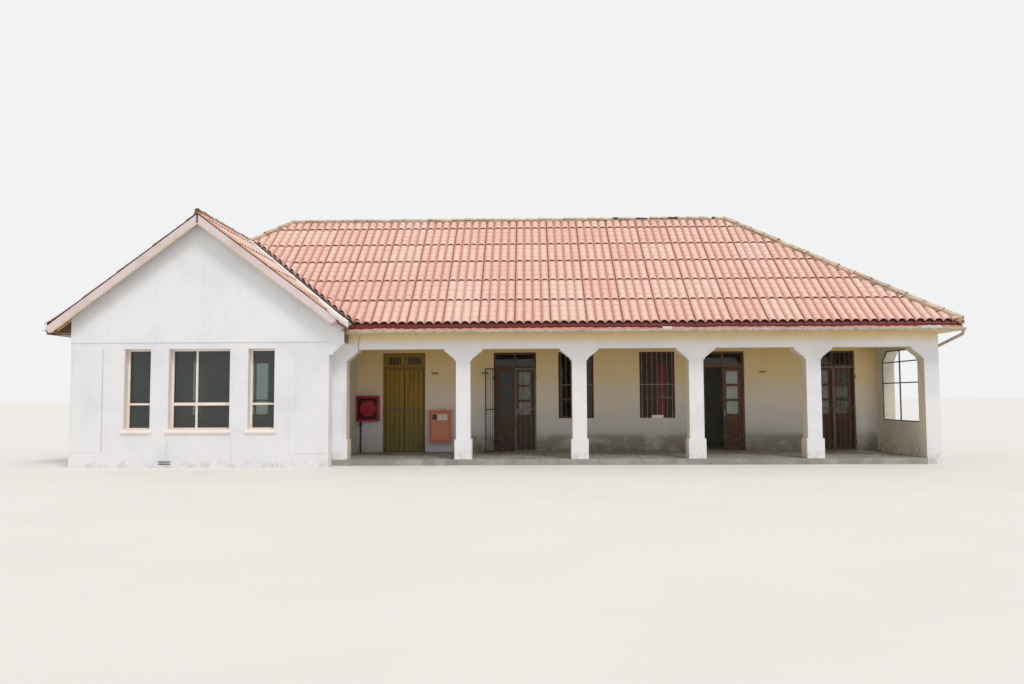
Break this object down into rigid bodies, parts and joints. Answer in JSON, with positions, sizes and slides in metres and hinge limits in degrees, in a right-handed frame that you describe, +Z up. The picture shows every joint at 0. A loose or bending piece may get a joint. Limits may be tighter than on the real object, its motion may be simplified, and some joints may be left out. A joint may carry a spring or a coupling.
{
  "type": "railway station building",
  "caption": "Single-storey station building with a gabled wing, a hipped tile roof and an arcaded front porch with doors, iron gates and wall cabinets",
  "frame": {"origin": "On the ground, in the middle of the plan over the outer faces of the walls", "axes": "X along the front from left to right, Y from the porch side to the back, Z up"},
  "size_m": [22.6234, 9.8517, 7.1144],
  "materials": {
    "white_render": "lime-washed render, dusty at the foot",
    "cream_render": "stained cream render",
    "concrete": "worn concrete",
    "roof_tile": "matt weathered terracotta",
    "ridge_tile": "lichened, chalky",
    "roof_wood": "painted boards",
    "white_wood": "weathered paint",
    "red_wood": "faded oil paint",
    "cream_wood": "oil paint",
    "brown_wood": "dull varnish",
    "olive_wood": "dull oil paint",
    "clear_glass": "clear, a little dusty",
    "white_metal": "chalky paint",
    "dark_iron": "dull black paint",
    "red_metal": "semi-gloss paint",
    "orange_metal": "semi-gloss paint"
  },
  "bodies": {
    "building": {"arcade_beam": "white_render", "arcade_piers": "white_render", "bargeboards": "white_wood", "ceiling": "roof_wood", "door_frames": "brown_wood", "door_lintels": "cream_render", "downpipe": "white_metal", "eave_fascia": "red_wood", "fire_cabinet": "red_metal", "fire_riser": "red_metal", "front_gutter": "white_metal", "gable_cladding": "white_render", "gate_hinges": "dark_iron", "hose_reel": "red_metal", "left_wall": "white_render", "main_roof_tiles": "roof_tile", "outer_windows": "cream_wood", "porch_back_wall": "cream_render", "porch_floor": "concrete", "porch_side_wall": "white_render", "porch_windows": "brown_wood", "rear_wall": "white_render", "ridge_caps": "ridge_tile", "right_wall": "white_render", "roof_deck": "roof_wood", "room_floor": "concrete", "side_opening_frame": "white_metal", "wall_cabinet": "orange_metal", "wall_fittings": "white_metal", "window_glass": "clear_glass", "wing_corbel": "white_render", "wing_front_wall": "white_render", "wing_gable": "white_render", "wing_roof_tiles": "roof_tile", "wing_side_wall": "white_render", "wing_window_sills": "white_render", "wing_windows": "cream_wood"},
    "door_1_left": {"door_1_left": "olive_wood"},
    "door_1_right": {"door_1_right": "olive_wood"},
    "door_2_left": {"door_2_left": "brown_wood", "door_2_left_glass": "clear_glass"},
    "door_2_right": {"door_2_right": "brown_wood", "door_2_right_glass": "clear_glass"},
    "door_3_left": {"door_3_left": "brown_wood", "door_3_left_glass": "clear_glass"},
    "door_3_right": {"door_3_right": "brown_wood", "door_3_right_glass": "clear_glass"},
    "door_4_left": {"door_4_left": "brown_wood", "door_4_left_glass": "clear_glass"},
    "door_4_right": {"door_4_right": "brown_wood", "door_4_right_glass": "clear_glass"},
    "gate_2_left": {"gate_2_left": "dark_iron"},
    "gate_2_right": {"gate_2_right": "dark_iron"},
    "gate_4_left": {"gate_4_left": "dark_iron"},
    "gate_4_right": {"gate_4_right": "dark_iron"},
    "wall_cabinet_door": {"wall_cabinet_door": "orange_metal"}
  },
  "joints": [
    {"name": "door_1_left_hinge", "type": "hinge", "parent": "building", "child": "door_1_left", "pos_m": [-3.53, -0.803, 1.33], "axis": [0, 0, 1], "range_deg": [0, 90]},
    {"name": "door_1_right_hinge", "type": "hinge", "parent": "building", "child": "door_1_right", "pos_m": [-2.446, -0.803, 1.33], "axis": [0, 0, -1], "range_deg": [0, 90]},
    {"name": "door_2_left_hinge", "type": "hinge", "parent": "building", "child": "door_2_left", "pos_m": [-0.364, -0.803, 1.33], "axis": [0, 0, 1], "range_deg": [0, 90]},
    {"name": "door_2_right_hinge", "type": "hinge", "parent": "building", "child": "door_2_right", "pos_m": [0.72, -0.803, 1.33], "axis": [0, 0, -1], "range_deg": [0, 90]},
    {"name": "door_3_left_hinge", "type": "hinge", "parent": "building", "child": "door_3_left", "pos_m": [5.538, -0.803, 1.33], "axis": [0, 0, 1], "range_deg": [-80, 10]},
    {"name": "door_3_right_hinge", "type": "hinge", "parent": "building", "child": "door_3_right", "pos_m": [6.622, -0.803, 1.33], "axis": [0, 0, -1], "range_deg": [0, 90]},
    {"name": "door_4_left_hinge", "type": "hinge", "parent": "building", "child": "door_4_left", "pos_m": [8.645, -0.803, 1.33], "axis": [0, 0, 1], "range_deg": [0, 90]},
    {"name": "door_4_right_hinge", "type": "hinge", "parent": "building", "child": "door_4_right", "pos_m": [9.729, -0.803, 1.33], "axis": [0, 0, -1], "range_deg": [0, 90]},
    {"name": "gate_2_left_hinge", "type": "hinge", "parent": "building", "child": "gate_2_left", "pos_m": [-0.424, -0.967, 1.33], "axis": [0, 0, -1], "range_deg": [-114, 46]},
    {"name": "gate_2_right_hinge", "type": "hinge", "parent": "building", "child": "gate_2_right", "pos_m": [0.78, -0.967, 1.33], "axis": [0, 0, 1], "range_deg": [0, 160]},
    {"name": "gate_4_left_hinge", "type": "hinge", "parent": "building", "child": "gate_4_left", "pos_m": [8.585, -0.967, 1.33], "axis": [0, 0, -1], "range_deg": [0, 160]},
    {"name": "gate_4_right_hinge", "type": "hinge", "parent": "building", "child": "gate_4_right", "pos_m": [9.789, -0.967, 1.33], "axis": [0, 0, 1], "range_deg": [0, 160]},
    {"name": "wall_cabinet_door_hinge", "type": "hinge", "parent": "building", "child": "wall_cabinet_door", "pos_m": [-2.207, -1.167, 0.875], "axis": [0, 0, -1], "range_deg": [0, 110]}
  ]
}
